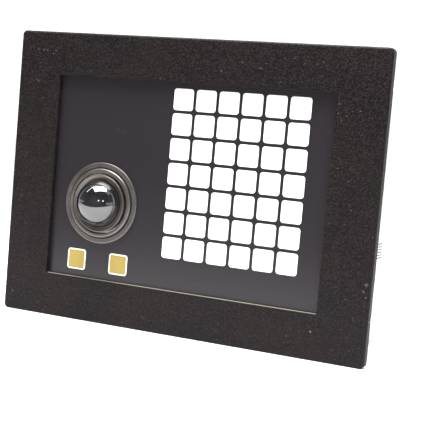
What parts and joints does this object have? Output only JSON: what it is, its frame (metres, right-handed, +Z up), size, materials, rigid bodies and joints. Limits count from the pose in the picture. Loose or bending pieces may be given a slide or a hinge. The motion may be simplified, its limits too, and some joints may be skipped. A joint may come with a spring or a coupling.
{
  "type": "trackball operator panel",
  "caption": "Panel-mount operator panel: black textured bezel round a flat face with a trackball, two amber keys, a block of white keys and a vented steel housing behind.",
  "frame": {"origin": "centre of the corner studs, in the plane of the bezel's rear face that seats on the mounting panel", "axes": "+X to the user's right along the bezel, +Y away from the user into the mounting panel, +Z up the bezel"},
  "size_m": [0.31, 0.1448, 0.228],
  "materials": {
    "bezel_coat": "coarse textured powder coat",
    "face_film": "smooth satin printed film",
    "plate_metal": "satin",
    "circuit_board": "solder resist",
    "ring_plastic": "satin, finely turned",
    "cup_plastic": "moulded",
    "housing_paint": "smooth pale grey paint",
    "fastener_steel": "zinc plated",
    "ball_resin": "high gloss",
    "core_steel": "turned",
    "roller_plastic": "moulded",
    "key_white": "smooth satin film",
    "key_amber": "smooth satin film with a white border"
  },
  "bodies": {
    "panel": {"bezel_frame": "bezel_coat", "overlay_film": "face_film", "front_plate": "plate_metal", "key_board": "circuit_board", "trackball_flange": "ring_plastic", "retaining_ring": "ring_plastic", "trackball_cup": "cup_plastic", "trackball_board": "circuit_board", "rear_housing": "housing_paint", "interface_board": "circuit_board", "mounting_studs": "fastener_steel", "machine_screws": "fastener_steel"},
    "ball_core": {"ball_core": "core_steel"},
    "ball": {"ball_shell": "ball_resin"},
    "roller_x": {"encoder_roller_x": "roller_plastic"},
    "roller_z": {"encoder_roller_z": "roller_plastic"},
    "key_r1c1": {"key_r1c1": "key_white"},
    "key_r1c2": {"key_r1c2": "key_white"},
    "key_r1c3": {"key_r1c3": "key_white"},
    "key_r1c4": {"key_r1c4": "key_white"},
    "key_r1c5": {"key_r1c5": "key_white"},
    "key_r1c6": {"key_r1c6": "key_white"},
    "key_r2c1": {"key_r2c1": "key_white"},
    "key_r2c2": {"key_r2c2": "key_white"},
    "key_r2c3": {"key_r2c3": "key_white"},
    "key_r2c4": {"key_r2c4": "key_white"},
    "key_r2c5": {"key_r2c5": "key_white"},
    "key_r2c6": {"key_r2c6": "key_white"},
    "key_r3c1": {"key_r3c1": "key_white"},
    "key_r3c2": {"key_r3c2": "key_white"},
    "key_r3c3": {"key_r3c3": "key_white"},
    "key_r3c4": {"key_r3c4": "key_white"},
    "key_r3c5": {"key_r3c5": "key_white"},
    "key_r3c6": {"key_r3c6": "key_white"},
    "key_r4c1": {"key_r4c1": "key_white"},
    "key_r4c2": {"key_r4c2": "key_white"},
    "key_r4c3": {"key_r4c3": "key_white"},
    "key_r4c4": {"key_r4c4": "key_white"},
    "key_r4c5": {"key_r4c5": "key_white"},
    "key_r4c6": {"key_r4c6": "key_white"},
    "key_r5c1": {"key_r5c1": "key_white"},
    "key_r5c2": {"key_r5c2": "key_white"},
    "key_r5c3": {"key_r5c3": "key_white"},
    "key_r5c4": {"key_r5c4": "key_white"},
    "key_r5c5": {"key_r5c5": "key_white"},
    "key_r5c6": {"key_r5c6": "key_white"},
    "key_r6c1": {"key_r6c1": "key_white"},
    "key_r6c2": {"key_r6c2": "key_white"},
    "key_r6c3": {"key_r6c3": "key_white"},
    "key_r6c4": {"key_r6c4": "key_white"},
    "key_r6c5": {"key_r6c5": "key_white"},
    "key_r6c6": {"key_r6c6": "key_white"},
    "key_r7c1": {"key_r7c1": "key_white"},
    "key_r7c2": {"key_r7c2": "key_white"},
    "key_r7c3": {"key_r7c3": "key_white"},
    "key_r7c4": {"key_r7c4": "key_white"},
    "key_r7c5": {"key_r7c5": "key_white"},
    "key_r7c6": {"key_r7c6": "key_white"},
    "amber_key_left": {"amber_key_left": "key_amber"},
    "amber_key_right": {"amber_key_right": "key_amber"}
  },
  "joints": [
    {"name": "ball_turn_x", "type": "hinge", "parent": "panel", "child": "ball_core", "pos_m": [-0.0718, -0.005, -0.0189], "axis": [1, 0, 0], "continuous": true},
    {"name": "ball_turn_z", "type": "hinge", "parent": "ball_core", "child": "ball", "pos_m": [-0.0718, -0.005, -0.0189], "axis": [0, 0, 1], "continuous": true},
    {"name": "roller_x_spin", "type": "hinge", "parent": "panel", "child": "roller_x", "pos_m": [-0.0718, 0.01105, -0.03495], "axis": [1, 0, 0], "continuous": true},
    {"name": "roller_z_spin", "type": "hinge", "parent": "panel", "child": "roller_z", "pos_m": [-0.08785, 0.01105, -0.0189], "axis": [0, 0, 1], "continuous": true},
    {"name": "key_r1c1_press", "type": "slide", "parent": "panel", "child": "key_r1c1", "axis": [0, 1, 0], "range_m": [0, 0.0006], "stiffness_N_per_m": 1500, "springref_m": -0.0004},
    {"name": "key_r1c2_press", "type": "slide", "parent": "panel", "child": "key_r1c2", "axis": [0, 1, 0], "range_m": [0, 0.0006], "stiffness_N_per_m": 1500, "springref_m": -0.0004},
    {"name": "key_r1c3_press", "type": "slide", "parent": "panel", "child": "key_r1c3", "axis": [0, 1, 0], "range_m": [0, 0.0006], "stiffness_N_per_m": 1500, "springref_m": -0.0004},
    {"name": "key_r1c4_press", "type": "slide", "parent": "panel", "child": "key_r1c4", "axis": [0, 1, 0], "range_m": [0, 0.0006], "stiffness_N_per_m": 1500, "springref_m": -0.0004},
    {"name": "key_r1c5_press", "type": "slide", "parent": "panel", "child": "key_r1c5", "axis": [0, 1, 0], "range_m": [0, 0.0006], "stiffness_N_per_m": 1500, "springref_m": -0.0004},
    {"name": "key_r1c6_press", "type": "slide", "parent": "panel", "child": "key_r1c6", "axis": [0, 1, 0], "range_m": [0, 0.0006], "stiffness_N_per_m": 1500, "springref_m": -0.0004},
    {"name": "key_r2c1_press", "type": "slide", "parent": "panel", "child": "key_r2c1", "axis": [0, 1, 0], "range_m": [0, 0.0006], "stiffness_N_per_m": 1500, "springref_m": -0.0004},
    {"name": "key_r2c2_press", "type": "slide", "parent": "panel", "child": "key_r2c2", "axis": [0, 1, 0], "range_m": [0, 0.0006], "stiffness_N_per_m": 1500, "springref_m": -0.0004},
    {"name": "key_r2c3_press", "type": "slide", "parent": "panel", "child": "key_r2c3", "axis": [0, 1, 0], "range_m": [0, 0.0006], "stiffness_N_per_m": 1500, "springref_m": -0.0004},
    {"name": "key_r2c4_press", "type": "slide", "parent": "panel", "child": "key_r2c4", "axis": [0, 1, 0], "range_m": [0, 0.0006], "stiffness_N_per_m": 1500, "springref_m": -0.0004},
    {"name": "key_r2c5_press", "type": "slide", "parent": "panel", "child": "key_r2c5", "axis": [0, 1, 0], "range_m": [0, 0.0006], "stiffness_N_per_m": 1500, "springref_m": -0.0004},
    {"name": "key_r2c6_press", "type": "slide", "parent": "panel", "child": "key_r2c6", "axis": [0, 1, 0], "range_m": [0, 0.0006], "stiffness_N_per_m": 1500, "springref_m": -0.0004},
    {"name": "key_r3c1_press", "type": "slide", "parent": "panel", "child": "key_r3c1", "axis": [0, 1, 0], "range_m": [0, 0.0006], "stiffness_N_per_m": 1500, "springref_m": -0.0004},
    {"name": "key_r3c2_press", "type": "slide", "parent": "panel", "child": "key_r3c2", "axis": [0, 1, 0], "range_m": [0, 0.0006], "stiffness_N_per_m": 1500, "springref_m": -0.0004},
    {"name": "key_r3c3_press", "type": "slide", "parent": "panel", "child": "key_r3c3", "axis": [0, 1, 0], "range_m": [0, 0.0006], "stiffness_N_per_m": 1500, "springref_m": -0.0004},
    {"name": "key_r3c4_press", "type": "slide", "parent": "panel", "child": "key_r3c4", "axis": [0, 1, 0], "range_m": [0, 0.0006], "stiffness_N_per_m": 1500, "springref_m": -0.0004},
    {"name": "key_r3c5_press", "type": "slide", "parent": "panel", "child": "key_r3c5", "axis": [0, 1, 0], "range_m": [0, 0.0006], "stiffness_N_per_m": 1500, "springref_m": -0.0004},
    {"name": "key_r3c6_press", "type": "slide", "parent": "panel", "child": "key_r3c6", "axis": [0, 1, 0], "range_m": [0, 0.0006], "stiffness_N_per_m": 1500, "springref_m": -0.0004},
    {"name": "key_r4c1_press", "type": "slide", "parent": "panel", "child": "key_r4c1", "axis": [0, 1, 0], "range_m": [0, 0.0006], "stiffness_N_per_m": 1500, "springref_m": -0.0004},
    {"name": "key_r4c2_press", "type": "slide", "parent": "panel", "child": "key_r4c2", "axis": [0, 1, 0], "range_m": [0, 0.0006], "stiffness_N_per_m": 1500, "springref_m": -0.0004},
    {"name": "key_r4c3_press", "type": "slide", "parent": "panel", "child": "key_r4c3", "axis": [0, 1, 0], "range_m": [0, 0.0006], "stiffness_N_per_m": 1500, "springref_m": -0.0004},
    {"name": "key_r4c4_press", "type": "slide", "parent": "panel", "child": "key_r4c4", "axis": [0, 1, 0], "range_m": [0, 0.0006], "stiffness_N_per_m": 1500, "springref_m": -0.0004},
    {"name": "key_r4c5_press", "type": "slide", "parent": "panel", "child": "key_r4c5", "axis": [0, 1, 0], "range_m": [0, 0.0006], "stiffness_N_per_m": 1500, "springref_m": -0.0004},
    {"name": "key_r4c6_press", "type": "slide", "parent": "panel", "child": "key_r4c6", "axis": [0, 1, 0], "range_m": [0, 0.0006], "stiffness_N_per_m": 1500, "springref_m": -0.0004},
    {"name": "key_r5c1_press", "type": "slide", "parent": "panel", "child": "key_r5c1", "axis": [0, 1, 0], "range_m": [0, 0.0006], "stiffness_N_per_m": 1500, "springref_m": -0.0004},
    {"name": "key_r5c2_press", "type": "slide", "parent": "panel", "child": "key_r5c2", "axis": [0, 1, 0], "range_m": [0, 0.0006], "stiffness_N_per_m": 1500, "springref_m": -0.0004},
    {"name": "key_r5c3_press", "type": "slide", "parent": "panel", "child": "key_r5c3", "axis": [0, 1, 0], "range_m": [0, 0.0006], "stiffness_N_per_m": 1500, "springref_m": -0.0004},
    {"name": "key_r5c4_press", "type": "slide", "parent": "panel", "child": "key_r5c4", "axis": [0, 1, 0], "range_m": [0, 0.0006], "stiffness_N_per_m": 1500, "springref_m": -0.0004},
    {"name": "key_r5c5_press", "type": "slide", "parent": "panel", "child": "key_r5c5", "axis": [0, 1, 0], "range_m": [0, 0.0006], "stiffness_N_per_m": 1500, "springref_m": -0.0004},
    {"name": "key_r5c6_press", "type": "slide", "parent": "panel", "child": "key_r5c6", "axis": [0, 1, 0], "range_m": [0, 0.0006], "stiffness_N_per_m": 1500, "springref_m": -0.0004},
    {"name": "key_r6c1_press", "type": "slide", "parent": "panel", "child": "key_r6c1", "axis": [0, 1, 0], "range_m": [0, 0.0006], "stiffness_N_per_m": 1500, "springref_m": -0.0004},
    {"name": "key_r6c2_press", "type": "slide", "parent": "panel", "child": "key_r6c2", "axis": [0, 1, 0], "range_m": [0, 0.0006], "stiffness_N_per_m": 1500, "springref_m": -0.0004},
    {"name": "key_r6c3_press", "type": "slide", "parent": "panel", "child": "key_r6c3", "axis": [0, 1, 0], "range_m": [0, 0.0006], "stiffness_N_per_m": 1500, "springref_m": -0.0004},
    {"name": "key_r6c4_press", "type": "slide", "parent": "panel", "child": "key_r6c4", "axis": [0, 1, 0], "range_m": [0, 0.0006], "stiffness_N_per_m": 1500, "springref_m": -0.0004},
    {"name": "key_r6c5_press", "type": "slide", "parent": "panel", "child": "key_r6c5", "axis": [0, 1, 0], "range_m": [0, 0.0006], "stiffness_N_per_m": 1500, "springref_m": -0.0004},
    {"name": "key_r6c6_press", "type": "slide", "parent": "panel", "child": "key_r6c6", "axis": [0, 1, 0], "range_m": [0, 0.0006], "stiffness_N_per_m": 1500, "springref_m": -0.0004},
    {"name": "key_r7c1_press", "type": "slide", "parent": "panel", "child": "key_r7c1", "axis": [0, 1, 0], "range_m": [0, 0.0006], "stiffness_N_per_m": 1500, "springref_m": -0.0004},
    {"name": "key_r7c2_press", "type": "slide", "parent": "panel", "child": "key_r7c2", "axis": [0, 1, 0], "range_m": [0, 0.0006], "stiffness_N_per_m": 1500, "springref_m": -0.0004},
    {"name": "key_r7c3_press", "type": "slide", "parent": "panel", "child": "key_r7c3", "axis": [0, 1, 0], "range_m": [0, 0.0006], "stiffness_N_per_m": 1500, "springref_m": -0.0004},
    {"name": "key_r7c4_press", "type": "slide", "parent": "panel", "child": "key_r7c4", "axis": [0, 1, 0], "range_m": [0, 0.0006], "stiffness_N_per_m": 1500, "springref_m": -0.0004},
    {"name": "key_r7c5_press", "type": "slide", "parent": "panel", "child": "key_r7c5", "axis": [0, 1, 0], "range_m": [0, 0.0006], "stiffness_N_per_m": 1500, "springref_m": -0.0004},
    {"name": "key_r7c6_press", "type": "slide", "parent": "panel", "child": "key_r7c6", "axis": [0, 1, 0], "range_m": [0, 0.0006], "stiffness_N_per_m": 1500, "springref_m": -0.0004},
    {"name": "amber_key_left_press", "type": "slide", "parent": "panel", "child": "amber_key_left", "axis": [0, 1, 0], "range_m": [0, 0.0006], "stiffness_N_per_m": 1500, "springref_m": -0.0004},
    {"name": "amber_key_right_press", "type": "slide", "parent": "panel", "child": "amber_key_right", "axis": [0, 1, 0], "range_m": [0, 0.0006], "stiffness_N_per_m": 1500, "springref_m": -0.0004}
  ],
  "couplings": [
    {"joint": "roller_x_spin", "follows": "ball_turn_x", "ratio": -5.4429},
    {"joint": "roller_z_spin", "follows": "ball_turn_z", "ratio": -5.4429}
  ]
}
